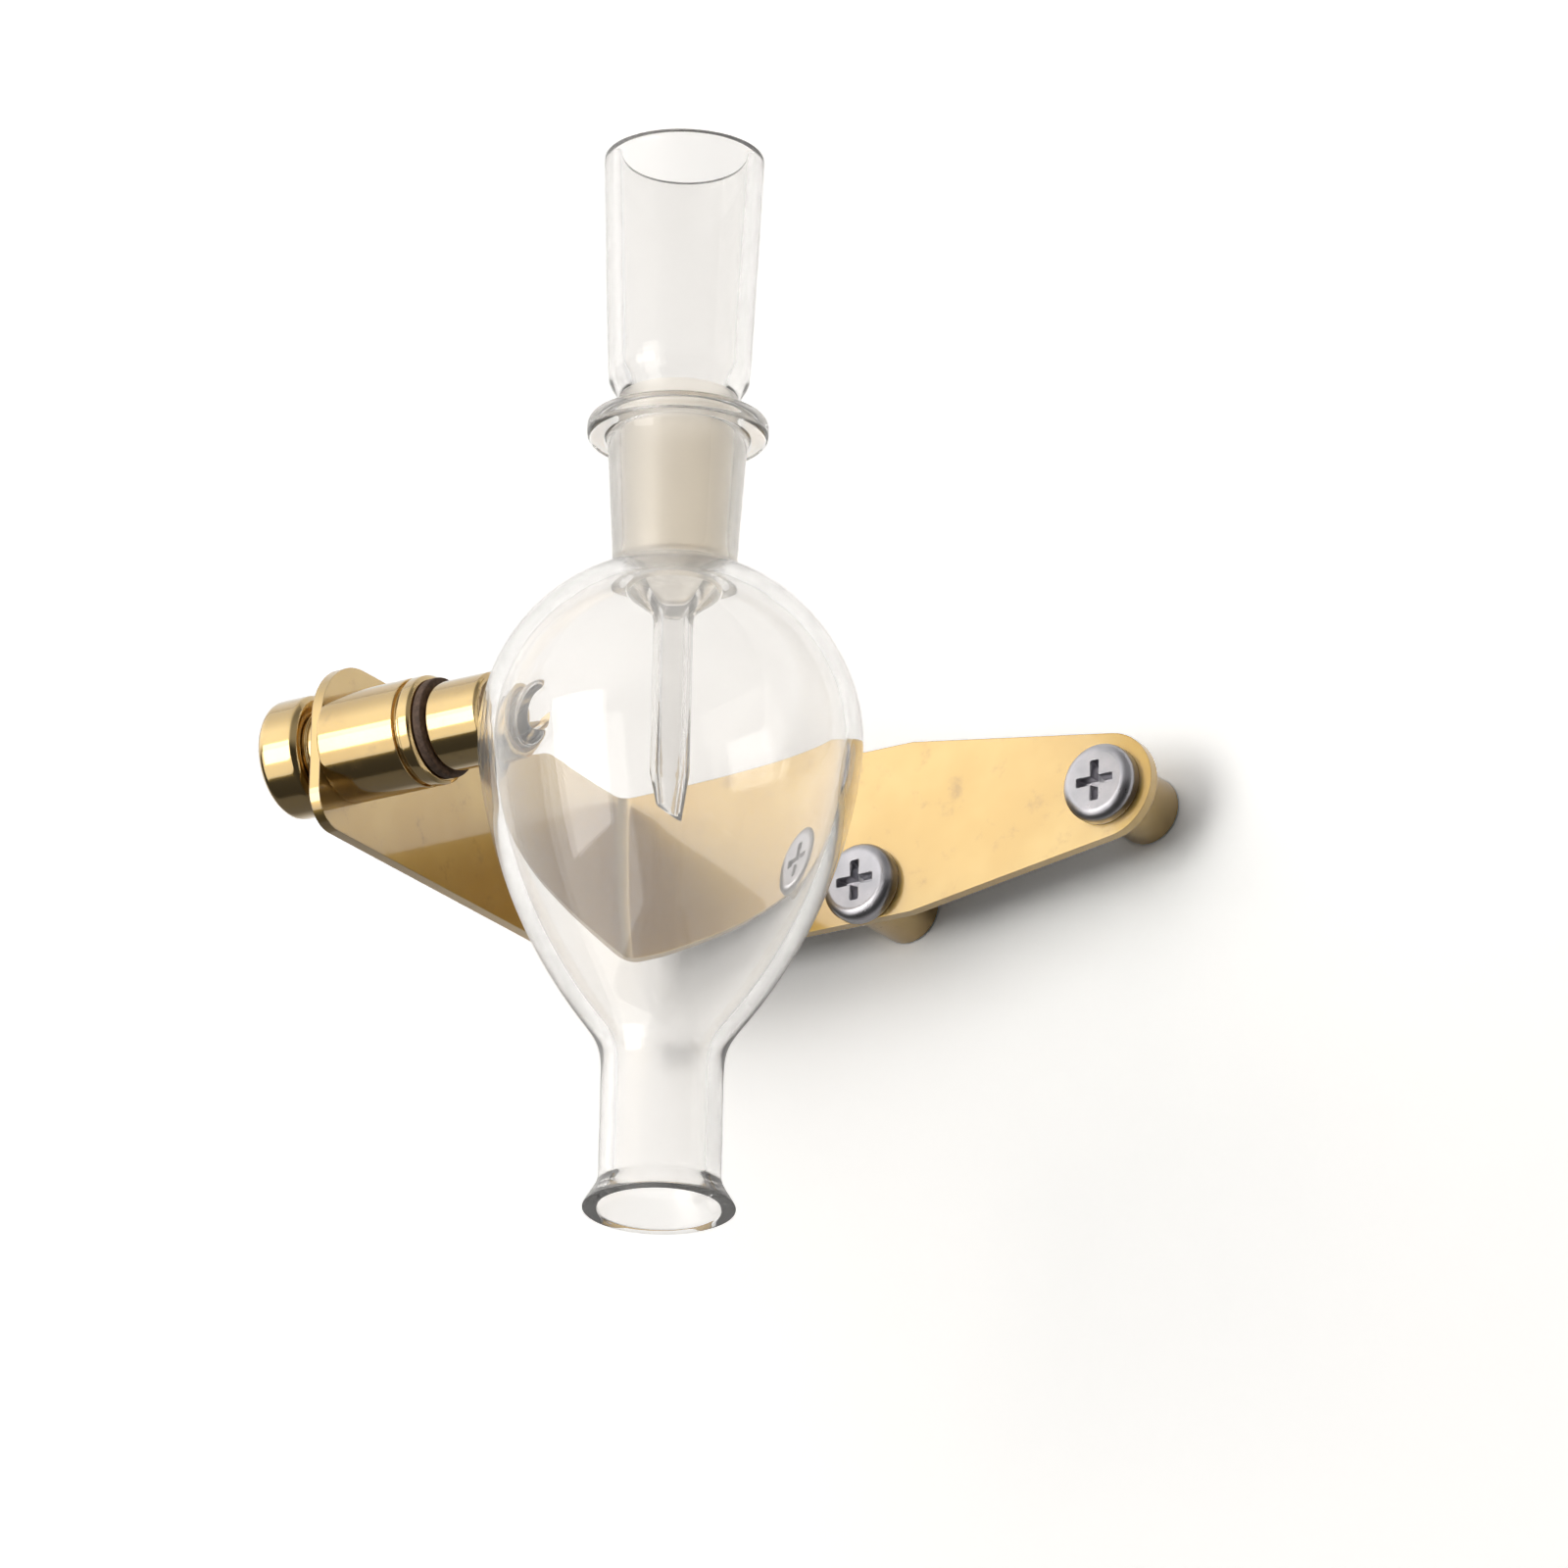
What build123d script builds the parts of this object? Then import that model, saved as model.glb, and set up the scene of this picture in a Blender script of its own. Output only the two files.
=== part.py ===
from build123d import *
from math import acos, asin, cos, degrees, radians, sin
import os

# Glass dropping bulb on a brass wall bracket. Millimetres, +Z up.
# The wall is the plane Y = 0 and the object stands out from it towards -Y.
# The origin is where the near screw's axis meets the wall.

# Bracket: one strip of sheet brass, folded to an L
sheet = 1.5
strip_height = 23.0
fold_inside = 2.0
near_to_fold = 41.0
screw_spacing = 36.0
near_drop = 6.7
taper_start = 7.0
end_radius = 7.0
pivot_reach = 58.8
arm_overhang = 6.0
arm_low_corner = 4.5
arm_high_corner = 9.0

# Wall screws and their spacers
screw_head_radius = 5.2
screw_head_height = 2.4
screw_head_edge = 1.5
screw_shank_radius = 1.9
screw_thread_radius = 2.5
screw_thread_length = 22.0
screw_tip_length = 5.0
recess_width = 1.0
recess_span = 5.4
recess_depth = 1.7
spacer_length = 9.0
spacer_radius = 4.5
hole_clearance = 0.2

# Pivot: boss on the arm, spindle with its cup, washers and knob
bulb_clearance = 1.7
boss_radius = 7.0
boss_length = 14.0
boss_groove = 0.8
boss_groove_depth = 0.6
boss_collar = 1.8
spigot_radius = 3.9
spindle_radius = 3.0
thread_radius = 2.5
thread_shoulder = 0.5
cup_radius = 5.7
cup_wall = 0.9
cup_floor = 1.6
cup_length = 8.0
friction_washer = 1.2
friction_washer_radius = 6.4
thrust_washer = 1.0
thrust_washer_radius = 5.6
knob_radius = 7.6
knob_hub_radius = 5.4
knob_hub_length = 0.4
knob_rim_length = 6.0
knob_dome = 0.9
knob_bore_depth = 5.2
knob_edge = 0.7
edge_break = 0.4
running_clearance = 0.05
seat_clearance = 0.03
face_gap = 0.1

# Bulb vessel: heights are from the bulb's centre
bulb_drop = 8.6
bulb_radius = 24.0
glass_wall = 2.0
pear_radius = 70.0
pear_angle = 7.0
outlet_radius = 7.6
outlet_bore_radius = 5.6
outlet_depth = 61.5
flare_radius = 9.7
flare_height = 3.4
flare_fillet = 3.4
outlet_fillet = 7.0
joint_large_radius = 7.25
joint_length = 23.0
joint_taper_share = 0.05
neck_height = 19.0
neck_low_radius = 7.7
neck_high_radius = 8.8
neck_fillet = 3.0
lip_radius = 11.4
lip_height = 2.4
lip_fillet = 1.1
stub_radius = 4.0
stub_bore_radius = 2.5
stub_end_wall = 1.5
stub_end_gap = 0.6
stub_fillet = 2.0

# Dropper plug: open head, ground cone and drip tube
cone_stand = 3.0
cone_lift = 0.4
head_stand = 5.2
head_length = 30.6
head_low_radius = 8.9
head_high_radius = 10.1
head_wall = 2.1
head_fillet = 1.4
rim_fillet = 0.8
cone_wall = 1.9
drip_radius = 2.5
drip_bore_radius = 1.3
drip_shoulder = 3.0
jet_top = -4.0
jet_tip = -10.7
jet_radius = 1.6
jet_bore_radius = 0.8
jet_bevel_angle = 40.0

overrun = 5.0

# Places that follow from the sizes above
strip_middle = near_drop
pivot_z = strip_middle
bulb_z = pivot_z - bulb_drop
plate_front = -(spacer_length + sheet)
plate_end = screw_spacing + end_radius
pivot_y = plate_front - pivot_reach
arm_front = pivot_y - arm_overhang
arm_outer = -near_to_fold
arm_inner = arm_outer + sheet
hole_radius = screw_thread_radius + hole_clearance

# The neck stands on the bulb, and the plug's head stands above the lip
neck_top = bulb_radius + neck_height
cone_top = neck_top + cone_stand
head_bottom = neck_top + head_stand
head_top = head_bottom + head_length

# The vessel's axis stands where the cup just clears the bulb
cup_reach = boss_length + face_gap + friction_washer + cup_length
vessel_offset = arm_inner + cup_reach + bulb_clearance + bulb_radius

# Turned pieces are drawn in the plane through the pivot axis:
# x along that axis, from the vessel's own axis, and y outwards
turning = Plane(origin=(vessel_offset, pivot_y, pivot_z), x_dir=(1, 0, 0), z_dir=(0, -1, 0))
pivot_axis = Axis(turning.origin, turning.x_dir)
outer_face = arm_outer - vessel_offset
inner_face = arm_inner - vessel_offset
boss_end = inner_face + boss_length
washer_face = boss_end + face_gap
cup_shoulder = washer_face + friction_washer
cup_mouth = cup_shoulder + cup_length
cup_bottom = cup_shoulder + cup_floor
cup_bore_radius = cup_radius - cup_wall

# Blown glass is drawn in the plane through the vessel's axis:
# x outwards, y up from the bulb's centre
glass = Plane(origin=(vessel_offset, pivot_y, bulb_z), x_dir=(1, 0, 0), z_dir=(0, -1, 0))
vessel_axis = Axis(glass.origin, glass.y_dir)

os.makedirs("parts", exist_ok=True)


def dome(rim, height):
    """The radius of a ball whose cap has this rim radius and height, and half the angle it spans."""
    ball = (rim**2 + height**2) / (2 * height)
    return ball, degrees(asin(rim / ball))


# Bracket: L in plan, the wall leg tapered to a round end about the far screw, the arm's corners rounded
with BuildPart() as bracket:
    with BuildSketch(Plane.XY.offset(strip_middle - strip_height / 2)) as plan:
        with BuildLine():
            Polyline(
                (arm_outer, arm_front),
                (arm_outer, -spacer_length),
                (plate_end, -spacer_length),
                (plate_end, plate_front),
                (arm_inner, plate_front),
                (arm_inner, arm_front),
                close=True,
            )
        make_face()
        fillet(plan.vertices().sort_by_distance((arm_outer, -spacer_length))[0], fold_inside + sheet)
        fillet(plan.vertices().sort_by_distance((arm_inner, plate_front))[0], fold_inside)
    extrude(amount=strip_height)
    with BuildSketch(Plane.XZ):
        with Locations(((arm_outer + taper_start) / 2, strip_middle)):
            Rectangle(taper_start - arm_outer, strip_height)
        with Locations((screw_spacing, strip_middle)):
            Circle(end_radius)
        make_hull()
    extrude(amount=-arm_front + overrun, both=True, mode=Mode.INTERSECT)
    fillet(bracket.edges().filter_by(Axis.X).group_by(Axis.Y)[0].sort_by(Axis.Z)[0], arm_low_corner)
    fillet(bracket.edges().filter_by(Axis.X).group_by(Axis.Y)[0].sort_by(Axis.Z)[-1], arm_high_corner)
    with BuildSketch(Plane.XZ):
        Circle(hole_radius)
        with Locations((screw_spacing, strip_middle)):
            Circle(hole_radius)
    extrude(amount=-plate_front + overrun, mode=Mode.SUBTRACT)
    with BuildSketch(Plane.YZ.offset(arm_outer - overrun)):
        with Locations((pivot_y, pivot_z)):
            Circle(spigot_radius + seat_clearance)
    extrude(amount=sheet + 2 * overrun, mode=Mode.SUBTRACT)
bracket.part.label = "bracket"
export_step(bracket.part, "parts/bracket.step")


# Pivot boss: turned barrel whose spigot is set in the arm, with a collar groove near its inner end
with BuildPart() as pivot_boss:
    with BuildSketch(turning):
        with BuildLine():
            Polyline(
                (outer_face, spindle_radius + running_clearance),
                (outer_face, spigot_radius),
                (inner_face, spigot_radius),
                (inner_face, boss_radius),
                (boss_end - boss_collar - boss_groove, boss_radius),
                (boss_end - boss_collar - boss_groove, boss_radius - boss_groove_depth),
                (boss_end - boss_collar, boss_radius - boss_groove_depth),
                (boss_end - boss_collar, boss_radius),
                (boss_end - edge_break, boss_radius),
                (boss_end, boss_radius - edge_break),
                (boss_end, spindle_radius + running_clearance),
                close=True,
            )
        make_face()
    revolve(axis=pivot_axis)
pivot_boss.part.label = "pivot_boss"
export_step(pivot_boss.part, "parts/pivot_boss.step")


# Spindle: cup for the glass stub at one end, threaded pin for the knob at the other
knob_face = outer_face - thrust_washer - face_gap
thread_end = knob_face - knob_bore_depth + face_gap
with BuildPart() as spindle:
    with BuildSketch(turning):
        with BuildLine():
            Polyline(
                (thread_end, 0),
                (thread_end, thread_radius - edge_break),
                (thread_end + edge_break, thread_radius),
                (outer_face + thread_shoulder, thread_radius),
                (outer_face + thread_shoulder, spindle_radius),
                (cup_shoulder, spindle_radius),
                (cup_shoulder, cup_radius - edge_break),
                (cup_shoulder + edge_break, cup_radius),
                (cup_mouth - edge_break, cup_radius),
                (cup_mouth, cup_radius - edge_break),
                (cup_mouth, cup_bore_radius),
                (cup_bottom, cup_bore_radius),
                (cup_bottom, 0),
                close=True,
            )
        make_face()
    revolve(axis=pivot_axis)
spindle.part.label = "spindle"
export_step(spindle.part, "parts/spindle.step")


# Friction washer: between the boss and the cup, turning with the cup
with BuildPart() as friction_ring:
    with BuildSketch(turning):
        with BuildLine():
            Polyline(
                (washer_face, spindle_radius + seat_clearance),
                (washer_face, friction_washer_radius),
                (cup_shoulder, friction_washer_radius),
                (cup_shoulder, spindle_radius + seat_clearance),
                close=True,
            )
        make_face()
    revolve(axis=pivot_axis)
friction_ring.part.label = "friction_washer"
export_step(friction_ring.part, "parts/friction_washer.step")


# Thrust washer: on the arm's outer face, under the knob
with BuildPart() as thrust_ring:
    with BuildSketch(turning):
        with BuildLine():
            Polyline(
                (outer_face - thrust_washer, thread_radius + running_clearance),
                (outer_face - thrust_washer, thrust_washer_radius),
                (outer_face, thrust_washer_radius),
                (outer_face, thread_radius + running_clearance),
                close=True,
            )
        make_face()
    revolve(axis=pivot_axis)
thrust_ring.part.label = "thrust_washer"
export_step(thrust_ring.part, "parts/thrust_washer.step")


# Clamp knob: blind round nut with a low hub, a smooth rim and a low dome
rim_start = knob_face - knob_hub_length
rim_end = rim_start - knob_rim_length
dome_radius, dome_angle = dome(knob_radius - knob_edge, knob_dome)
with BuildPart() as clamp_knob:
    with BuildSketch(turning):
        with BuildLine():
            Polyline(
                (knob_face - knob_bore_depth, 0),
                (knob_face - knob_bore_depth, thread_radius + running_clearance),
                (knob_face, thread_radius + running_clearance),
                (knob_face, knob_hub_radius),
                (rim_start, knob_hub_radius),
                (rim_start, knob_radius - knob_edge),
                (rim_start - knob_edge, knob_radius),
                (rim_end + knob_edge, knob_radius),
                (rim_end, knob_radius - knob_edge),
            )
            CenterArc((rim_end - knob_dome + dome_radius, 0), dome_radius, 180 - dome_angle, dome_angle)
            Line((rim_end - knob_dome, 0), (knob_face - knob_bore_depth, 0))
        make_face()
    revolve(axis=pivot_axis)
clamp_knob.part.label = "clamp_knob"
export_step(clamp_knob.part, "parts/clamp_knob.step")


# Bulb vessel: outer form with the side stub faired into the bulb, then the space inside its even wall
pear_x = -(pear_radius - bulb_radius) * cos(radians(pear_angle))
pear_y = (pear_radius - bulb_radius) * sin(radians(pear_angle))
pear_end_angle = degrees(acos((outlet_radius - pear_x) / pear_radius))
neck_angle = degrees(acos(neck_low_radius / bulb_radius))
lip_bottom = neck_top - lip_height
outlet_end = -outlet_depth
flare_top = outlet_end + flare_height
socket_bottom = neck_top - joint_length
joint_small_radius = joint_large_radius - joint_length * joint_taper_share
cavity_radius = bulb_radius - glass_wall
pear_bore_radius = pear_radius - glass_wall
pear_bore_angle = degrees(acos((outlet_bore_radius - pear_x) / pear_bore_radius))
stub_end = cup_bottom + stub_end_gap
stub_bore_end = stub_end + stub_end_wall
with BuildPart() as bulb_vessel:
    with BuildSketch(glass) as outline:
        with BuildLine():
            pear = CenterArc((pear_x, pear_y), pear_radius, -pear_end_angle, pear_end_angle - pear_angle)
            ball = CenterArc((0, 0), bulb_radius, -pear_angle, pear_angle + neck_angle)
            Polyline(
                ball @ 1,
                (neck_high_radius, lip_bottom),
                (lip_radius, lip_bottom),
                (lip_radius, neck_top),
                (0, neck_top),
                (0, outlet_end),
                (flare_radius, outlet_end),
                (outlet_radius, flare_top),
                pear @ 0,
            )
        make_face()
        fillet(outline.vertices().sort_by_distance(pear @ 0)[0], outlet_fillet)
        fillet(outline.vertices().sort_by_distance(ball @ 1)[0], neck_fillet)
        fillet(outline.vertices().sort_by_distance((neck_high_radius, lip_bottom))[0], lip_fillet)
        fillet(outline.vertices().sort_by_distance((lip_radius, lip_bottom))[0], lip_fillet)
        fillet(outline.vertices().sort_by_distance((lip_radius, neck_top))[0], lip_fillet)
        fillet(outline.vertices().sort_by_distance((outlet_radius, flare_top))[0], flare_fillet)
        fillet(outline.vertices().sort_by_distance((flare_radius, outlet_end))[0], rim_fillet)
    revolve(axis=vessel_axis)
    with BuildSketch(Plane(origin=turning.from_local_coords((stub_end, 0)), z_dir=(1, 0, 0))):
        Circle(stub_radius)
    extrude(amount=-stub_end)
    fillet(bulb_vessel.edges(Select.NEW), stub_fillet)
    with BuildSketch(glass) as hollow:
        with BuildLine():
            pear_inside = CenterArc(
                (pear_x, pear_y), pear_bore_radius, -pear_bore_angle, pear_bore_angle - pear_angle
            )
            ball_inside = CenterArc((0, 0), cavity_radius, -pear_angle, pear_angle + 90)
            Polyline(
                ball_inside @ 1,
                (0, outlet_end),
                (flare_radius - glass_wall, outlet_end),
                (outlet_bore_radius, flare_top),
                pear_inside @ 0,
            )
        make_face()
        fillet(hollow.vertices().sort_by_distance(pear_inside @ 0)[0], outlet_fillet + glass_wall)
        with BuildLine():
            Polyline(
                (0, neck_top),
                (joint_large_radius, neck_top),
                (joint_small_radius, socket_bottom),
                (0, socket_bottom),
                close=True,
            )
        make_face()
    revolve(axis=vessel_axis, mode=Mode.SUBTRACT)
    with BuildSketch(Plane(origin=turning.from_local_coords((stub_bore_end, 0)), z_dir=(1, 0, 0))):
        Circle(stub_bore_radius)
    extrude(amount=-stub_bore_end, mode=Mode.SUBTRACT)
bulb_vessel.part.label = "bulb_vessel"
export_step(bulb_vessel.part, "parts/bulb_vessel.step")


# Stub sleeve: cork between the glass stub and the metal cup
with BuildPart() as stub_sleeve:
    with BuildSketch(turning):
        with BuildLine():
            Polyline(
                (stub_end, stub_radius + seat_clearance),
                (stub_end, cup_bore_radius - seat_clearance),
                (cup_mouth, cup_bore_radius - seat_clearance),
                (cup_mouth, stub_radius + seat_clearance),
                close=True,
            )
        make_face()
    revolve(axis=pivot_axis)
stub_sleeve.part.label = "stub_sleeve"
export_step(stub_sleeve.part, "parts/stub_sleeve.step")


# Dropper plug: one hollow piece, its ground cone seated in the neck and its jet cut on a slant
cone_bottom = socket_bottom + cone_lift
cone_low_radius = joint_small_radius + cone_lift * joint_taper_share - running_clearance
cone_high_radius = joint_large_radius + (cone_top - neck_top) * joint_taper_share - running_clearance
drip_top = cone_bottom - drip_shoulder
cone_bore_start = (cone_low_radius - cone_wall, cone_bottom + drip_shoulder)
head_bore_start = (head_low_radius - head_wall, head_bottom + head_wall)
with BuildPart() as dropper_plug:
    with BuildSketch(glass) as skin:
        with BuildLine():
            Polyline(
                (0, jet_tip),
                (jet_radius, jet_tip),
                (drip_radius, jet_top),
                (drip_radius, drip_top),
                (cone_low_radius, cone_bottom),
                (cone_high_radius, cone_top),
                (head_low_radius, head_bottom),
                (head_high_radius, head_top),
                (0, head_top),
                close=True,
            )
        make_face()
        fillet(skin.vertices().sort_by_distance((drip_radius, drip_top))[0], head_fillet)
        fillet(skin.vertices().sort_by_distance((cone_low_radius, cone_bottom))[0], rim_fillet)
        fillet(skin.vertices().sort_by_distance((head_low_radius, head_bottom))[0], head_fillet)
        fillet(skin.vertices().sort_by_distance((head_high_radius, head_top))[0], rim_fillet)
    revolve(axis=vessel_axis)
    with BuildSketch(glass) as bore:
        with BuildLine():
            Polyline(
                (0, jet_tip),
                (jet_bore_radius, jet_tip),
                (drip_bore_radius, jet_top),
                (drip_bore_radius, drip_top),
                cone_bore_start,
                (cone_high_radius - cone_wall, cone_top),
                head_bore_start,
                (head_high_radius - head_wall, head_top),
                (0, head_top),
                close=True,
            )
        make_face()
        fillet(bore.vertices().sort_by_distance(cone_bore_start)[0], rim_fillet)
        fillet(bore.vertices().sort_by_distance(head_bore_start)[0], head_fillet)
    revolve(axis=vessel_axis, mode=Mode.SUBTRACT)
    fillet(dropper_plug.edges().group_by(Axis.Z)[-1].sort_by(SortBy.RADIUS)[0], rim_fillet)
    bevel = Plane(glass.from_local_coords((jet_radius, jet_tip))).rotated((0, jet_bevel_angle, 0))
    split(bisect_by=bevel, keep=Keep.TOP)
dropper_plug.part.label = "dropper_plug"
export_step(dropper_plug.part, "parts/dropper_plug.step")


# Wall screws and spacers: a flat round-edged head with a cross recess on the plate, a tube behind it
def wall_screw(x, z):
    """One pan-headed screw on the axis (x, z), its thread starting at the wall."""
    length = Plane(origin=(x, 0, z), x_dir=(0, 1, 0), z_dir=(1, 0, 0))
    axis = Axis(length.origin, length.x_dir)
    crown = plate_front - screw_head_height
    with BuildPart() as screw:
        with BuildSketch(length) as form:
            with BuildLine():
                Polyline(
                    (crown, 0),
                    (crown, screw_head_radius),
                    (plate_front, screw_head_radius),
                    (plate_front, screw_shank_radius),
                    (0, screw_shank_radius),
                    (0, screw_thread_radius),
                    (screw_thread_length, screw_thread_radius),
                    (screw_thread_length + screw_tip_length, 0),
                    close=True,
                )
            make_face()
            fillet(form.vertices().sort_by_distance((crown, screw_head_radius))[0], screw_head_edge)
        revolve(axis=axis)
        with BuildSketch(Plane(origin=(x, crown - overrun, z), x_dir=(1, 0, 0), z_dir=(0, 1, 0))):
            Rectangle(recess_span, recess_width)
            Rectangle(recess_width, recess_span)
        extrude(amount=overrun + recess_depth, mode=Mode.SUBTRACT)
    return screw.part


def wall_spacer(x, z):
    """One tube on the axis (x, z), from the wall to the back of the plate."""
    with BuildPart() as spacer:
        with BuildSketch(Plane(origin=(x, 0, z), x_dir=(1, 0, 0), z_dir=(0, -1, 0))):
            Circle(spacer_radius)
            Circle(hole_radius, mode=Mode.SUBTRACT)
        extrude(amount=spacer_length)
    return spacer.part


for place, (x, z) in {"near": (0, 0), "far": (screw_spacing, strip_middle)}.items():
    for name, piece in {"screw": wall_screw(x, z), "spacer": wall_spacer(x, z)}.items():
        piece.label = f"{place}_{name}"
        export_step(piece, f"parts/{place}_{name}.step")
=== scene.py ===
import bmesh
import bpy
import numpy as np
from mathutils import Matrix, Vector


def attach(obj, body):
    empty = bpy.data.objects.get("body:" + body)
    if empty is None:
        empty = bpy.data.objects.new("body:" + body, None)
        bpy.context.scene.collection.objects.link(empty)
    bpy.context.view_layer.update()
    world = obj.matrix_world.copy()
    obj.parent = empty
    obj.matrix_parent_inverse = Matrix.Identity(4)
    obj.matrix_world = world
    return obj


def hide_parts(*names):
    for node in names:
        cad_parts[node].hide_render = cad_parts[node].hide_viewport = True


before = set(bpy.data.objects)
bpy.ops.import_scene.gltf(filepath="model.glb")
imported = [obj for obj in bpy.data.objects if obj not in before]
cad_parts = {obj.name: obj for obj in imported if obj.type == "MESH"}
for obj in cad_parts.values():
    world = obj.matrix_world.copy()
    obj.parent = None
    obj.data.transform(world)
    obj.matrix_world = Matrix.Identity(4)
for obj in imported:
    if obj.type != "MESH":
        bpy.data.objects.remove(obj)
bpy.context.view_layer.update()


# Bracket: one strip of 1.5 mm sheet brass, folded square to an L, with a tapered round end on the wall leg
# and rounded corners on the arm. It was polished lengthwise, its edges were broken with a file, and
# handling has dulled it in patches.


class Wire:
    """An output socket of a shader tree. Sums and products of wires and numbers add Math nodes to it."""

    def __init__(self, socket):
        self.socket = socket

    def node(self, kind, settings=None, inputs=None, output=0):
        """Adds a node of this kind: its settings first, then a value or a wire on each of its inputs."""
        tree = self.socket.id_data
        made = tree.nodes.new("ShaderNode" + kind)
        for key, value in (settings or {}).items():
            setattr(made, key, value)
        for key, value in (inputs or {}).items():
            if isinstance(value, Wire):
                tree.links.new(value.socket, made.inputs[key])
            else:
                made.inputs[key].default_value = value
        return Wire(made.outputs[output]) if made.outputs else None

    def math(self, operation, left, right):
        return self.node("Math", {"operation": operation}, {0: left, 1: right})

    def __add__(self, other):
        return self.math("ADD", self, other)

    def __rsub__(self, other):
        return self.math("SUBTRACT", other, self)

    def __mul__(self, other):
        return self.math("MULTIPLY", self, other)

    __radd__ = __add__
    __rmul__ = __mul__

    def between(self, low, high):
        """0 below low and 1 above high, with an eased rise between them."""
        return self.node("MapRange", {"interpolation_type": "SMOOTHSTEP"}, {0: self, 1: low, 2: high})

    def tint(self, first, second):
        """The first colour where this wire is 0 and the second where it is 1."""
        return self.node("Mix", {"data_type": "RGBA"}, {0: self, 6: first, 7: second}, 2)


def begin_finish(name):
    """An empty material, and a wire of the Object coordinates in its tree."""
    material = bpy.data.materials.new(name)
    material.use_nodes = True
    material.node_tree.nodes.clear()
    return material, Wire(material.node_tree.nodes.new("ShaderNodeTexCoord").outputs["Object"])


def polished_brass(name, lines, shine, edge=None):
    """Lacquered brass: noise drifts its colour from yellow to a deeper tone and tarnishes it in patches.

    Noise stretched by the scale of the lines makes the marks of polishing or turning, in shine and height.
    Where an edge radius is given, the shading rounds the sheet's edges by it.
    """
    material, place = begin_finish(name)
    drift = place.node("TexNoise", None, {"Vector": place, "Scale": 60, "Detail": 3, "Roughness": 0.55})
    patch = place.node("TexNoise", None, {"Vector": place, "Scale": 260, "Detail": 6, "Roughness": 0.65})
    stretched = place.node("Mapping", None, {"Vector": place, "Scale": lines})
    mark = place.node("TexNoise", None, {"Vector": stretched, "Scale": 1, "Detail": 5, "Roughness": 0.6})
    dull = patch.between(0.55, 0.8)
    yellow, deep, tarnish = (0.62, 0.42, 0.13, 1), (0.55, 0.35, 0.09, 1), (0.26, 0.16, 0.07, 1)
    colour = (dull * 0.45).tint(drift.between(0.3, 0.7).tint(yellow, deep), tarnish)
    height = {"Strength": 0.12, "Distance": 0.00004, "Height": mark}
    if edge:
        height["Normal"] = place.node("Bevel", {"samples": 6}, {"Radius": edge})
    metal = place.node("BsdfPrincipled", None, {
        "Base Color": colour,
        "Metallic": 1,
        "Roughness": shine + dull * 0.14 + mark * 0.07 + drift * 0.05,
        "Normal": place.node("Bump", None, height),
        "Coat Weight": 1,
        "Coat Roughness": 0.06,
        "Coat IOR": 2.1,
    })
    place.node("OutputMaterial", None, {"Surface": metal})
    return material


sheet_brass = polished_brass("polished_sheet_brass", (45, 45, 5200), 0.24, 0.00025)
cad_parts["bracket"].data.materials.clear()
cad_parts["bracket"].data.materials.append(sheet_brass)


# Wall spacers: two short lengths of brass tube behind the wall leg, one on each screw. They are faced square
# on a lathe and hold the bracket off the wall.

mm = 0.001


def eased_line(corners, soft, count, closed=True, crowd=None):
    """A line through corner points in a plane, with its corners rounded, walked in a number of steps.

    The line is walked in equal fine steps first. Then, round after round, every point moves towards the mean
    of its two neighbours, so that each corner spreads out over its own softness, a length. In the last walk
    half of the steps are shared out by length and half by how much the line bends, times the crowding where
    given.
    """
    corners = np.asarray(corners, float)
    soft = np.broadcast_to(np.asarray(soft, float), len(corners))
    if closed:
        corners, soft = np.vstack([corners, corners[:1]]), np.append(soft, soft[0])
    reach = np.concatenate([[0.0], np.cumsum(np.hypot(*np.diff(corners, axis=0).T))])
    fine_steps = 6000
    fine = np.linspace(0, reach[-1], fine_steps, endpoint=not closed)
    line = np.stack([np.interp(fine, reach, corners[:, k]) for k in (0, 1)], axis=1)
    spread = np.interp(fine, reach, soft)
    step = fine[1]
    share = 0.25 * (spread[:, None] / spread.max()) ** 2
    for _ in range(int(2 * (spread.max() / step) ** 2) + 1):
        pull = share * (np.roll(line, 1, axis=0) + np.roll(line, -1, axis=0) - 2 * line)
        if not closed:
            pull[[0, -1]] = 0
        line = line + pull
    run = np.diff(line, axis=0, append=line[:1] if closed else line[-1:])
    length = np.hypot(*run.T) + 1e-12
    heading = np.unwrap(np.arctan2(run[:, 1], run[:, 0]))
    bend = np.abs(np.gradient(heading))
    if not closed:
        bend[[0, -1, -2]] = 0
    weight = length / length.sum() + bend / (bend.sum() + 1e-12)
    if crowd is not None:
        weight = weight * crowd(line)
    walked = np.concatenate([[0.0], np.cumsum(weight)])
    at = np.linspace(0, walked[-1] if closed else walked[-2], count, endpoint=not closed)
    where = np.interp(at, walked, np.arange(len(walked)))
    if closed:
        line = np.vstack([line, line[:1]])
    return np.stack([np.interp(where, np.arange(len(line)), line[:, k]) for k in (0, 1)], axis=1)


def carried_round(line, foot, along, turns):
    """A grid of points: each point (distance, radius) of a line, carried round an axis.

    At the angle t it stands at the foot, plus its distance along the axis, plus its radius times
    cos t across the axis and sin t across both.
    """
    along = np.asarray(along, float)
    across = np.array([0.0, 0.0, 1.0]) if abs(along[2]) < 0.5 else np.array([1.0, 0.0, 0.0])
    t = np.linspace(0, 2 * np.pi, turns, endpoint=False)
    ring = np.cos(t)[:, None] * across + np.sin(t)[:, None] * np.cross(along, across)
    return np.asarray(foot, float) + line[:, :1, None] * along + line[:, 1:, None] * ring


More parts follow.
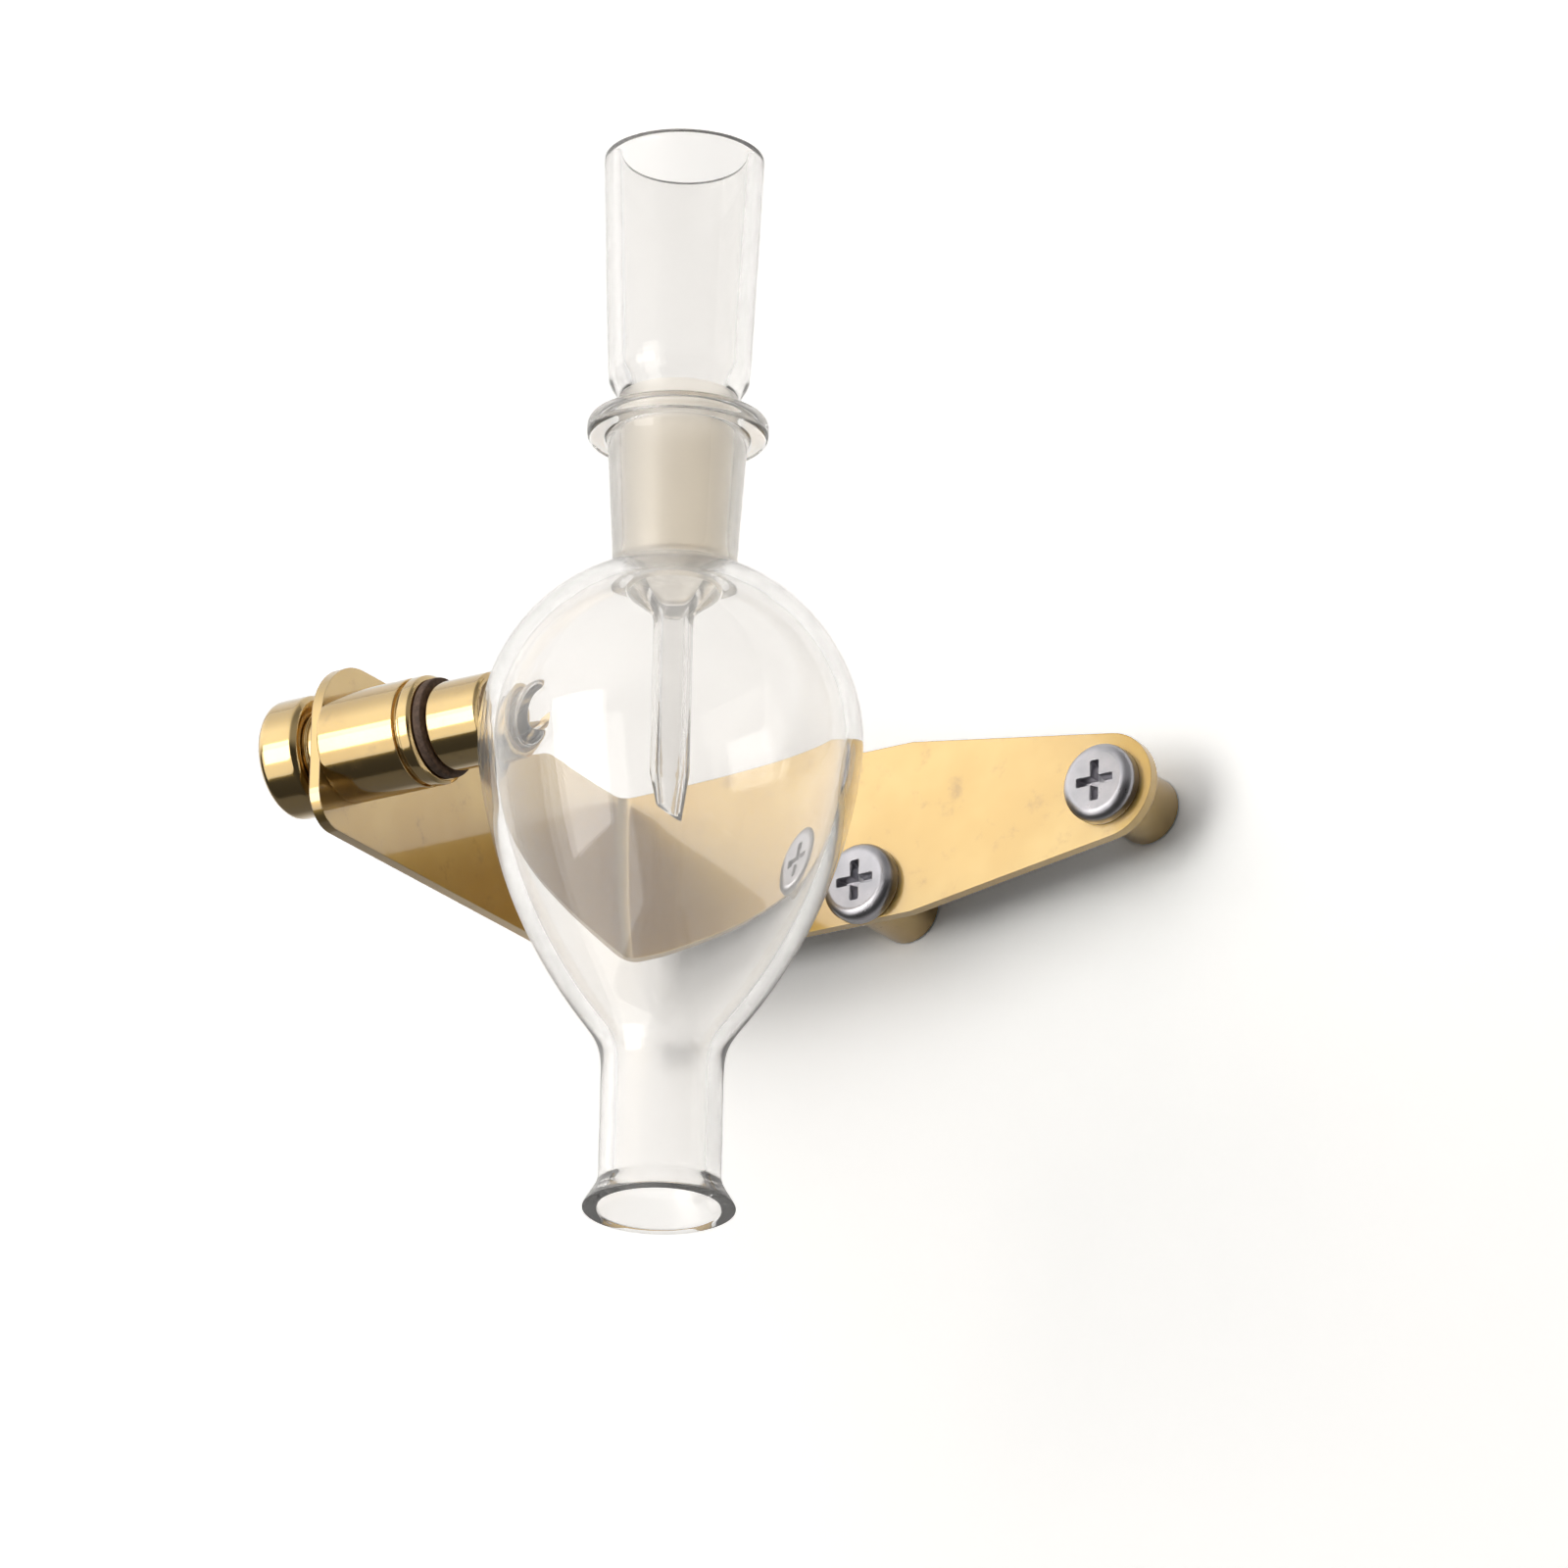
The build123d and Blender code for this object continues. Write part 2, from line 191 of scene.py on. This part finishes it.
def skinned(name, grid, closed, material, body, slot, node, **marks):
    """A smooth mesh over a grid of points in millimetres, in place of a CAD node.

    Columns go all the way round. Rows join end to end where closed; otherwise the two end rows are single
    points. Marks are numbers from 0 to 1 at each grid point, kept as attributes.
    """
    rows, turns = grid.shape[:2]
    index = np.arange(rows * turns).reshape(rows, turns)
    if closed:
        index = np.vstack([index, index[:1]])
    ahead = np.roll(index, -1, axis=1)
    faces = np.stack([index[:-1], ahead[:-1], ahead[1:], index[1:]], axis=-1).reshape(-1, 4)
    mesh = bpy.data.meshes.new(name)
    mesh.from_pydata((grid.reshape(-1, 3) * mm).tolist(), [], faces.tolist())
    for mark, values in marks.items():
        kept = mesh.attributes.new(mark, "FLOAT", "POINT")
        kept.data.foreach_set("value", values.astype(np.float32).ravel())
    work = bmesh.new()
    work.from_mesh(mesh)
    bmesh.ops.remove_doubles(work, verts=work.verts, dist=1e-7)
    bmesh.ops.recalc_face_normals(work, faces=work.faces)
    work.to_mesh(mesh)
    work.free()
    mesh.shade_smooth()
    mesh.materials.append(material)
    piece = bpy.data.objects.new(name, mesh)
    bpy.context.scene.collection.objects.link(piece)
    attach(piece, body)
    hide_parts(node)
    return piece


screw_places = (("near", 0, 0), ("far", 36, 6.7))
plate_back, tube_radius, tube_bore = -9, 4.5, 2.7
spacer_brass = polished_brass("drawn_tube_brass", (60, 4200, 60), 0.16)
tube = eased_line(
    [(0, tube_bore), (0, tube_radius), (plate_back, tube_radius), (plate_back, tube_bore)], 0.08, 72)
for place, x, z in screw_places:
    skinned(f"{place}_spacer_tube", carried_round(tube, (x, 0, z), (0, 1, 0), 96), True,
            spacer_brass, "wall_bracket", "turned_brass", f"{place}_spacer")


# Wall screws: zinc-plated steel, with a flat round-edged head, a cross recess and a coarse thread that is
# rolled on behind the plain shank. They go through the wall leg and the spacers into the wall.

head_radius, head_height, head_edge, plate_front = 5.2, 2.4, 1.5, -10.5
shank_radius, crest_radius, root_radius = 1.9, 2.5, 1.75
thread_length, tip_length, thread_pitch = 22.0, 5.0, 1.9
thread_run_in, tooth_share, taper_lead = 3.0, 0.75, 2.0
recess_depth, recess_width, recess_span = 1.7, 1.2, 5.4
recess_side_slope, recess_end_slope = 0.22, 0.5


def zinc_plate():
    """Zinc plate: a pale steel colour with a faint lilac bloom in patches and a fine bright grain."""
    material, place = begin_finish("zinc_plated_steel")
    bloom = place.node("TexNoise", None, {"Vector": place, "Scale": 320, "Detail": 4, "Roughness": 0.6})
    grain = place.node("TexNoise", None, {"Vector": place, "Scale": 5200, "Detail": 2})
    metal = place.node("BsdfPrincipled", None, {
        "Base Color": bloom.between(0.35, 0.7).tint((0.50, 0.49, 0.52, 1), (0.42, 0.42, 0.45, 1)),
        "Metallic": 1,
        "Roughness": 0.2 + bloom * 0.14 + grain * 0.06,
        "Normal": place.node("Bump", None, {"Strength": 0.1, "Distance": 0.00003, "Height": grain}),
    })
    place.node("OutputMaterial", None, {"Surface": metal})
    return material


def screw_form(x, z):
    """The screw's grid: rows run from the crown of the head to the point, columns go round its axis.

    The head is flat, with a quarter round at its edge, and sunk inside a cross with sloping walls. Along the
    thread the radius rises and falls once in each pitch, one turn of the axis moving it by one pitch, and at
    the tip it shrinks to nothing.
    """
    crown = plate_front - head_height
    flat = np.linspace(0, head_radius - head_edge, 56)
    bend = np.linspace(0, np.pi / 2, 20)[1:]
    side = np.linspace(crown + head_edge + 0.1, plate_front - 0.08, 5)
    head = np.vstack([
        np.stack([np.full(56, crown), flat], axis=1),
        np.stack([crown + head_edge * (1 - np.cos(bend)), flat[-1] + head_edge * np.sin(bend)], axis=1),
        np.stack([side, np.full(5, head_radius)], axis=1),
    ])
    under = np.array([
        [plate_front, head_radius - 0.08], [plate_front, 3.4], [plate_front, 2.0],
        [plate_front + 0.2, shank_radius],
    ])
    shank = np.stack([np.linspace(plate_front + 0.6, -0.4, 14), np.full(14, shank_radius)], axis=1)
    down = np.linspace(0, thread_length + tip_length, 230)
    thread = np.stack([down, np.full(230, root_radius)], axis=1)
    line = np.vstack([head, under, shank, thread])
    turns = 128
    t = np.linspace(0, 2 * np.pi, turns, endpoint=False)
    along, radius = (np.repeat(column[:, None], turns, axis=1) for column in line.T)
    phase = (along / thread_pitch - t / (2 * np.pi)) % 1
    tooth = np.clip(1 - np.abs(2 * phase - 1) / tooth_share, 0, 1)
    start = np.clip(along / thread_run_in, 0, 1)
    taper = np.sqrt(np.clip((thread_length + tip_length - along) / (tip_length + taper_lead), 0, 1))
    turned = shank_radius + (root_radius - shank_radius + (crest_radius - root_radius) * tooth) * start
    radius = np.where(along >= 0, turned * taper, radius)
    u, v = np.abs(radius * np.cos(t)), np.abs(radius * np.sin(t))
    wide, narrow = np.maximum(u, v), np.minimum(u, v)
    between_sides = np.clip((recess_width / 2 - narrow) / recess_side_slope, 0, 1)
    between_ends = np.clip((recess_span / 2 - wide) / recess_end_slope, 0, 1)
    sunk = crown + recess_depth * between_sides * between_ends
    in_head = np.arange(len(line))[:, None] < len(head)
    along = np.where(in_head, np.maximum(along, sunk), along)
    return np.stack([x + radius * np.sin(t), along, z + radius * np.cos(t)], axis=-1)


plated_steel = zinc_plate()
for place, x, z in screw_places:
    skinned(f"{place}_wall_screw", screw_form(x, z), False,
            plated_steel, "wall_bracket", "steel", f"{place}_screw")


# Pivot boss: a barrel turned from brass bar, with a fine groove behind its inner collar. Its spigot is set in
# the arm's hole and riveted over. Places along the pivot are measured from the vessel's axis.

pivot = (9.5, -69.3, 6.7)
arm_outer, arm_inner, boss_end = -50.5, -49, -35
boss_bore, spigot_radius, boss_radius = 3.05, 3.9, 7
groove_start, groove_end, groove_radius = -37.6, -36.8, 6.4
chamfer, broken_edge = 0.4, 0.09
turned_brass = polished_brass("turned_brass", (5200, 50, 50), 0.1)
barrel = eased_line(
    [(arm_outer, boss_bore), (arm_outer, spigot_radius), (arm_inner, spigot_radius), (arm_inner, boss_radius),
     (groove_start, boss_radius), (groove_start, groove_radius), (groove_end, groove_radius),
     (groove_end, boss_radius), (boss_end - chamfer, boss_radius), (boss_end, boss_radius - chamfer),
     (boss_end, boss_bore)],
    broken_edge, 150)
skinned("pivot_barrel", carried_round(barrel, pivot, (1, 0, 0), 160), True,
        turned_brass, "wall_bracket", "turned_brass", "pivot_boss")


# Thrust washer: a punched brass ring on the arm's outer face, under the knob. It lies loose round the
# spindle's thread, and the knob turns against it.

washer_face, washer_bore, washer_radius = -51.5, 2.55, 5.6
ring = eased_line(
    [(washer_face, washer_bore), (washer_face, washer_radius), (arm_outer, washer_radius),
     (arm_outer, washer_bore)],
    broken_edge, 64)
skinned("knob_washer", carried_round(ring, pivot, (1, 0, 0), 128), True,
        turned_brass, "wall_bracket", "turned_brass", "thrust_washer")


# Spindle: turned brass. Its pin runs through the boss and, with a thinner threaded end, into the knob. Its
# thin-walled cup takes the glass stub.

pin_end, pin_step, cup_back, cup_floor, cup_rim = -56.7, -50, -33.7, -32.1, -25.7
thread_radius, pin_radius, cup_bore, cup_radius = 2.5, 3, 4.8, 5.7
pin_and_cup = eased_line(
    [(pin_end, 0), (pin_end, thread_radius - chamfer), (pin_end + chamfer, thread_radius),
     (pin_step, thread_radius), (pin_step, pin_radius), (cup_back, pin_radius),
     (cup_back, cup_radius - chamfer), (cup_back + chamfer, cup_radius), (cup_rim - chamfer, cup_radius),
     (cup_rim, cup_radius - chamfer), (cup_rim, cup_bore), (cup_floor, cup_bore), (cup_floor, 0)],
    broken_edge, 170, closed=False)
skinned("cup_spindle", carried_round(pin_and_cup, pivot, (1, 0, 0), 144), False,
        turned_brass, "vessel", "turned_brass", "spindle")


# Friction washer: a ring cut from brown oiled leather, squeezed between the boss and the cup. Its drag keeps
# the vessel at its tilt.


def oiled_leather():
    """Leather: a brown grain of small cells, its tone changing with the fibres."""
    material, place = begin_finish("oiled_leather")
    cells = place.node("TexVoronoi", {"feature": "DISTANCE_TO_EDGE"}, {"Vector": place, "Scale": 2600})
    fibre = place.node("TexNoise", None, {"Vector": place, "Scale": 1500, "Detail": 5, "Roughness": 0.65})
    hide = place.node("BsdfPrincipled", None, {
        "Base Color": fibre.between(0.35, 0.75).tint((0.11, 0.065, 0.042, 1), (0.22, 0.135, 0.09, 1)),
        "Roughness": 0.55 + fibre * 0.25,
        "Normal": place.node("Bump", None, {"Strength": 0.5, "Distance": 0.00008,
                                            "Height": cells.between(0.0, 0.12) + fibre * 0.6}),
    })
    place.node("OutputMaterial", None, {"Surface": hide})
    return material


leather_face, leather_bore, leather_radius = -34.9, 3.03, 6.4
disc = eased_line(
    [(leather_face, leather_bore), (leather_face, leather_radius), (cup_back, leather_radius),
     (cup_back, leather_bore)],
    0.16, 64)
skinned("leather_washer", carried_round(disc, pivot, (1, 0, 0), 128), True,
        oiled_leather(), "vessel", "leather", "friction_washer")


# Clamp knob: a blind round nut of turned brass, with a low hub, a smooth rim and a low domed end. Turning it
# draws the washers together and holds the vessel at its tilt.

knob_end, rim_start, rim_back, hub_face, thread_floor = -58.9, -57.3, -52, -51.6, -56.8
rim_radius, rim_chamfer, hub_radius, thread_bore = 7.6, 0.7, 5.4, 2.55
dome_radius, dome_rise = 6.9, 0.9
dome_ball = (dome_radius**2 + dome_rise**2) / (2 * dome_rise)
cap = np.linspace(0, np.arcsin(dome_radius / dome_ball), 24)
dome = np.stack([knob_end + dome_ball * (1 - np.cos(cap)), dome_ball * np.sin(cap)], axis=1)
knob_corners = np.vstack([
    dome, [(rim_start, rim_radius), (rim_back - rim_chamfer, rim_radius), (rim_back, rim_radius - rim_chamfer),
           (rim_back, hub_radius), (hub_face, hub_radius), (hub_face, thread_bore), (thread_floor, thread_bore),
           (thread_floor, 0)],
])
knob_soft = np.concatenate([np.full(23, 0.1), [0.35, 0.35, 0.25, 0.2], np.full(5, 0.1)])
knob_line = eased_line(knob_corners, knob_soft, 130, closed=False)
skinned("turned_knob", carried_round(knob_line, pivot, (1, 0, 0), 192), False,
        turned_brass, "knob", "turned_brass", "clamp_knob")


# Bulb vessel: one piece of clear laboratory glass, blown and drawn in the flame. From the top it has a lip, a
# neck ground inside to a taper, a pear-shaped bulb with a closed side stub, and an outlet tube with a flared
# end. Its lines are points (radius, height) from the bulb's centre.

bulb_centre = np.array([9.5, -69.3, -1.9])
stub_rise = 8.6


def laboratory_glass(name, clear):
    """Glass of a given clear colour. Its ground faces, marked by the attribute, have a fine sanded grain and a
    beige tint, a painted reflection of the room blurred in them.

    Rays from the lamps pass through it, so that it leaves a pale shadow.
    """
    material, place = begin_finish(name)
    ground = place.node("Attribute", {"attribute_name": "ground"}, None, 2)
    sand = place.node("TexNoise", None, {"Vector": place, "Scale": 3800, "Detail": 3})
    cords = place.node("Mapping", None, {"Vector": place, "Scale": (110, 110, 26)})
    ripple = place.node("TexNoise", None, {"Vector": cords, "Scale": 1, "Detail": 2})
    relief = {"Strength": 0.05, "Distance": 0.0002, "Height": ripple + sand * ground * 0.2}
    glass = place.node("BsdfPrincipled", None, {
        # The ground faces' beige is a painted reflection of the room.
        "Base Color": ground.tint(clear, (0.90, 0.845, 0.755, 1)),
        "Roughness": ground * (0.34 + sand * 0.16),
        "IOR": 1.473,
        "Transmission Weight": 0.93,
        "Normal": place.node("Bump", None, relief),
    })
    passing = place.node("BsdfTransparent", None, {"Color": (0.93, 0.935, 0.935, 1)})
    lamp_ray = place.node("LightPath", None, None, 1)
    both = place.node("MixShader", None, {0: lamp_ray, 1: glass, 2: passing})
    place.node("OutputMaterial", None, {"Surface": both})
    return material


def arc(centre, radius, start, end, count):
    """Points on a circle between two angles in degrees."""
    t = np.radians(np.linspace(start, end, count))
    return np.stack([centre[0] + radius * np.cos(t), centre[1] + radius * np.sin(t)], axis=1)


def drawn_stub(grid, ball, collar, radius, end, fairing, sink):
    """The disc of a ball's wall round the stub's axis, drawn out into a tube with a closed end.

    A point's distance from that axis, as a share of the collar's radius, says where it goes. From the rim
    inwards it stays on the ball, then follows a parabola from the ball's slope to the tube's, then runs along
    the tube to a rounded edge, and the middle closes the end.
    """
    x, y, z = grid[..., 0], grid[..., 1], grid[..., 2]
    away = np.hypot(y, z - stub_rise)
    on_ball = np.abs(np.sqrt(x**2 + y**2 + z**2) - ball) < 0.2
    share = np.where((away < collar) & (x < 0) & on_ball, away / collar, 1)
    c, s = y / np.maximum(away, 1e-9), (z - stub_rise) / np.maximum(away, 1e-9)

    def on_the_ball(out):
        return -np.sqrt(np.maximum(ball**2 - (out * c) ** 2 - (stub_rise + out * s) ** 2, 1e-9))

    foot = radius + fairing
    foot_x = on_the_ball(foot)
    slope = (foot * c**2 + (stub_rise + foot * s) * s) / -foot_x
    knee_x = foot_x - slope * fairing
    wall_x = knee_x - sink
    end_share, edge_share, tube_share, fairing_share = 0.2, 0.26, 0.6, 0.8
    rounded = 0.4
    over_edge = (share - end_share) / (edge_share - end_share)
    up_tube = (share - edge_share) / (tube_share - edge_share)
    t = np.clip((share - tube_share) / (fairing_share - tube_share), 0, 1)
    over_ball = foot + (collar - foot) * np.clip((share - fairing_share) / (1 - fairing_share), 0, 1)
    parts = [share >= fairing_share, share >= tube_share, share >= edge_share, share >= end_share]
    out = np.select(
        parts,
        [over_ball, radius + fairing * t**2, radius, radius - rounded * (1 - over_edge) ** 2],
        (radius - rounded) * share / end_share)
    reach = np.select(
        parts,
        [on_the_ball(over_ball),
         (1 - t) ** 2 * wall_x + 2 * t * (1 - t) * knee_x + t**2 * foot_x,
         end + rounded + (wall_x - end - rounded) * up_tube,
         end + rounded * over_edge**2],
        end)
    drawn = np.stack([reach, out * c, stub_rise + out * s], axis=-1)
    return np.where((share < 1)[..., None], drawn, grid)


bulb_radius, glass_wall = 24, 2
pear_radius, pear_centre = 70, (-45.657, 5.606)
outlet_radius, flare_radius, flare_top, outlet_end = 7.6, 9.7, -58.1, -61.5
socket_radius, neck_radius, lip_radius, lip_bottom, lip_top = 7.25, 8.8, 11.4, 40.6, 43
pear = arc(pear_centre, pear_radius, -40.47, -7, 40)
ball = arc((0, 0), bulb_radius, -6, 71.29, 60)
lip = [(neck_radius, lip_bottom), (lip_radius, lip_bottom), (lip_radius, lip_top), (socket_radius, lip_top)]
ball_inside = arc((0, 0), bulb_radius - glass_wall, 73.7, -6, 50)
pear_inside = arc(pear_centre, pear_radius - glass_wall, -7, -41.09, 40)
vessel_corners = np.vstack([
    [(flare_radius, outlet_end), (outlet_radius, flare_top)], pear, ball, lip, ball_inside, pear_inside,
    [(outlet_radius - glass_wall, flare_top), (flare_radius - glass_wall, outlet_end)],
])
vessel_soft = np.concatenate([
    [0.35, 0.8], np.linspace(2.2, 0.4, 40), np.linspace(0.4, 1.4, 60), [0.5, 0.5, 0.5, 0.22],
    [0.25], np.linspace(0.1, 0.4, 49), np.linspace(0.4, 2.4, 40), [0.6, 0.3],
])


def near_the_stub(line):
    """More steps where the wall is level with the side stub."""
    level = np.exp(-(((line[:, 1] - stub_rise) / 8) ** 2))
    return 1 + 4 * level * (line[:, 0] > 18)


vessel_line = eased_line(vessel_corners, vessel_soft, 420, crowd=near_the_stub)
across, height = vessel_line[:, :1], vessel_line[:, 1:]
# Columns stand closer together on the stub's side
vessel_columns = 180
even = np.linspace(0, 2 * np.pi, vessel_columns, endpoint=False)
around = even + 0.72 * np.sin(even)
vessel_grid = np.stack([
    across * np.cos(around), across * np.sin(around), np.repeat(height, vessel_columns, axis=1)], axis=-1)
socket = (across < 7.4) & (height > 21.6) & (height < 42.6)
vessel_grid = drawn_stub(
    vessel_grid, ball=bulb_radius, collar=9, radius=4, end=-31.5, fairing=2.2, sink=0.6)
vessel_grid = drawn_stub(
    vessel_grid, ball=bulb_radius - glass_wall, collar=5, radius=2.5, end=-30, fairing=1, sink=0.8)
skinned("blown_bulb", vessel_grid + bulb_centre, True,
        laboratory_glass("laboratory_glass", (0.972, 0.964, 0.955, 1)), "vessel", "clear_glass", "bulb_vessel",
        ground=np.repeat(socket, vessel_columns, axis=1))


# Stub sleeve: a thin cork tube that beds the glass stub in the metal cup. It ends flush with the rim of the
# cup.


def pressed_cork():
    """Cork: tan grains of different tones, with dark pores between them."""
    material, place = begin_finish("pressed_cork")
    grains = place.node("TexVoronoi", None, {"Vector": place, "Scale": 1500}, 1)
    tone = place.node("SeparateColor", None, {"Color": grains})
    speck = place.node("TexNoise", None, {"Vector": place, "Scale": 2400, "Detail": 4, "Roughness": 0.7})
    pores = speck.between(0.58, 0.7)
    colour = pores.tint(tone.tint((0.50, 0.32, 0.17, 1), (0.68, 0.48, 0.28, 1)), (0.16, 0.09, 0.05, 1))
    bark = place.node("BsdfPrincipled", None, {
        "Base Color": colour,
        "Roughness": 0.82 + pores * 0.1,
        "Normal": place.node("Bump", None, {"Strength": 0.5, "Distance": 0.0001, "Height": 1 - pores}),
    })
    place.node("OutputMaterial", None, {"Surface": bark})
    return material


sleeve_end, sleeve_bore, sleeve_radius = -31.5, 4.03, 4.77
sleeve = eased_line(
    [(sleeve_end, sleeve_bore), (sleeve_end, sleeve_radius), (cup_rim, sleeve_radius), (cup_rim, sleeve_bore)],
    0.1, 64)
skinned("cork_sleeve", carried_round(sleeve, pivot, (1, 0, 0), 112), True,
        pressed_cork(), "vessel", "cork", "stub_sleeve")


# Dropper plug: one hollow piece of glass. Its open head stands above the lip, its cone is ground to fit the
# neck, and below it a narrow tube runs down into the bulb and ends in a jet cut on a slant.

jet_tip, jet_top, tube_top, cone_bottom, cone_top, head_top = -10.7, -4, 17.4, 20.4, 46, 78.8
jet_radius, drip_radius, drip_bore = 1.6, 2.5, 1.3
plug_corners = [
    (jet_radius, jet_tip), (drip_radius, jet_top), (drip_radius, tube_top), (6.07, cone_bottom),
    (7.35, cone_top), (8.9, 48.2), (10.1, head_top),
    (8.0, head_top), (6.8, 50.3), (5.45, cone_top), (4.17, 23.4),
    (drip_bore, tube_top), (drip_bore, jet_top), (0.8, jet_tip),
]
plug_soft = [0.12, 0.5, 0.8, 0.4, 0.35, 0.75, 0.38, 0.38, 0.8, 0.5, 0.8, 0.5, 0.5, 0.1]
plug_line = eased_line(plug_corners, plug_soft, 360)
cone = (plug_line[:, 0] > 5.9) & (plug_line[:, 1] > 20.5) & (plug_line[:, 1] < cone_top)
plug_columns = 192
plug_grid = carried_round(plug_line[:, ::-1], (0, 0, 0), (0, 0, 1), plug_columns)
# The jet is shortened towards its slanted end: the plane rises from its far side at 40 degrees
slant = jet_tip + (jet_radius - plug_grid[..., 0]) * np.tan(np.radians(40))
height = plug_grid[..., 2]
shortened = jet_top + (height - jet_top) * (jet_top - slant) / (jet_top - jet_tip)
plug_grid[..., 2] = np.where(height < jet_top, shortened, height)
skinned("dropping_plug", plug_grid + bulb_centre, True,
        laboratory_glass("plug_glass", (0.935, 0.927, 0.918, 1)), "plug", "clear_glass", "dropper_plug",
        ground=np.repeat(cone[:, None], plug_columns, axis=1))


# The room: a white painted wall that the screws go into, a pale floor far below, a window over a pale curtain
# to the left in front, and dim surroundings elsewhere. From behind, the wall lets the view through.


def plain_sheet(name, corners, material):
    """A flat four-cornered sheet for the stage."""
    mesh = bpy.data.meshes.new(name)
    mesh.from_pydata(corners, [], [(0, 1, 2, 3)])
    mesh.materials.append(material)
    made = bpy.data.objects.new(name, mesh)
    bpy.context.scene.collection.objects.link(made)


def grey(tone):
    return tone, tone, tone, 1


def room_paint(name, eye_tone, painted_shade_tone, high_tone, other_tone):
    """Paint in grey tones: one for the eye, straight or through glass, and one for light that it throws on.

    In metal it goes from a low tone, a painted shade, to a high one at the object's height.
    """
    material, place = begin_finish(name)
    path = place.node("LightPath").socket.node.outputs
    height = Wire(place.node("SeparateXYZ", None, {0: place}).socket.node.outputs["Z"])
    mirrored = Wire(path["Is Glossy Ray"]) * (1 - Wire(path["Is Transmission Ray"]))
    thrown_on = place.math("MINIMUM", Wire(path["Diffuse Depth"]), 1)
    # Painted shade: seen in metal, the wall below the object's height is darker than its paint.
    painted_shade_in_metal = height.between(-0.06, 0.02).tint(grey(painted_shade_tone), grey(high_tone))
    tone = thrown_on.tint(mirrored.tint(grey(eye_tone), painted_shade_in_metal), grey(other_tone))
    paint = place.node("BsdfDiffuse", None, {"Color": tone})
    behind = place.node("NewGeometry", None, None, 6)
    both = place.node("MixShader", None, {0: behind, 1: paint, 2: place.node("BsdfTransparent")})
    place.node("OutputMaterial", None, {"Surface": both})
    return material


reach, wall_face, low, high = 4, 0.0002, -1.2, 3
# Seen in metal, the wall's lower part and the whole floor are painted in a dark shade.
wall_paint = room_paint("wall_paint", eye_tone=1.65, painted_shade_tone=0.25, high_tone=1.3, other_tone=0.1)
floor_paint = room_paint("floor_paint", eye_tone=1.45, painted_shade_tone=0.1, high_tone=0.1, other_tone=0.1)
plain_sheet("wall", [(-reach, wall_face, low), (reach, wall_face, low), (reach, wall_face, high),
                     (-reach, wall_face, high)], wall_paint)
plain_sheet("floor", [(-reach, -reach, low), (reach, -reach, low), (reach, reach, low), (-reach, reach, low)],
            floor_paint)

world = bpy.data.worlds.new("room")
bpy.context.scene.world = world
world.use_nodes = True
world.node_tree.nodes.clear()
direction = Wire(world.node_tree.nodes.new("ShaderNodeTexCoord").outputs["Generated"])
sideways = direction.node("SeparateXYZ", None, {0: direction})
upwards = Wire(sideways.socket.node.outputs["Z"])
glow = upwards.between(0.0, 0.35) * (1.5 - 1.15 * sideways.between(-0.35, 0.55))
glow = 0.05 + glow * (1 - 0.45 * upwards.between(0.5, 0.9))
dim = direction.node("Background", None, {"Color": (1.0, 0.985, 0.96, 1), "Strength": glow})
white = direction.node("Background", None, {"Color": (1, 1, 1, 1), "Strength": 1})
path = direction.node("LightPath").socket.node.outputs
seen = direction.math("MAXIMUM", Wire(path["Is Camera Ray"]), Wire(path["Is Transmission Ray"]))
shown = direction.node("MixShader", None, {0: seen, 1: dim, 2: white})
direction.node("OutputWorld", None, {"Surface": shown})


def lamp(name, towards, distance, width, height, power, lights):
    """A rectangular lamp at a distance in a given direction from the bulb, facing it.

    It shows in metal and glass, and also lights the room where asked.
    """
    light = bpy.data.lights.new(name, "AREA")
    light.shape, light.size, light.size_y, light.energy = "RECTANGLE", width, height, power
    light.color = (1.0, 0.98, 0.95)
    made = bpy.data.objects.new(name, light)
    way = Vector(towards).normalized()
    made.location = Vector(bulb_centre * mm) + way * distance
    made.rotation_mode = "QUATERNION"
    made.rotation_quaternion = way.to_track_quat("Z", "Y")
    made.visible_camera = False
    made.visible_diffuse = lights
    bpy.context.scene.collection.objects.link(made)


lamp("window", (-0.39, -0.92, -0.03), distance=1.5, width=0.9, height=0.85, power=7.2, lights=True)
lamp("pale_curtain", (-0.37, -0.87, -0.32), distance=1.7, width=2.0, height=1.5, power=12.0, lights=False)


# Camera: a long lens on the right, looking slightly up at the bracket, turned a little about its own axis.
# Its frame is the photo's, with the scale in pixels to a millimetre and the bulb's centre where it was seen.

azimuth, elevation, roll = np.radians([33.7, -20.8, 1.27])
photo_side, scale, bulb_across, bulb_down = 1600, 8.209, 684, 758
sight, sensor = 2.2, 36
back = np.array([
    np.sin(azimuth) * np.cos(elevation), -np.cos(azimuth) * np.cos(elevation), np.sin(elevation)])
level = np.array([np.cos(azimuth), np.sin(azimuth), 0])
upright = np.cross(back, level)
right = level * np.cos(roll) + upright * np.sin(roll)
up = upright * np.cos(roll) - level * np.sin(roll)
aim = bulb_centre + right * (photo_side / 2 - bulb_across) / scale - up * (photo_side / 2 - bulb_down) / scale
lens = bpy.data.cameras.new("camera")
lens.sensor_width = sensor
lens.lens = sensor * sight / (photo_side / scale * mm)
lens.clip_end = 50
camera = bpy.data.objects.new("camera", lens)
eye = Vector(aim * mm + back * sight)
camera.matrix_world = Matrix.Translation(eye) @ Matrix(np.stack([right, up, back], axis=1).tolist()).to_4x4()
bpy.context.scene.collection.objects.link(camera)
bpy.context.scene.camera = camera
bpy.context.scene.view_settings.view_transform = "Standard"
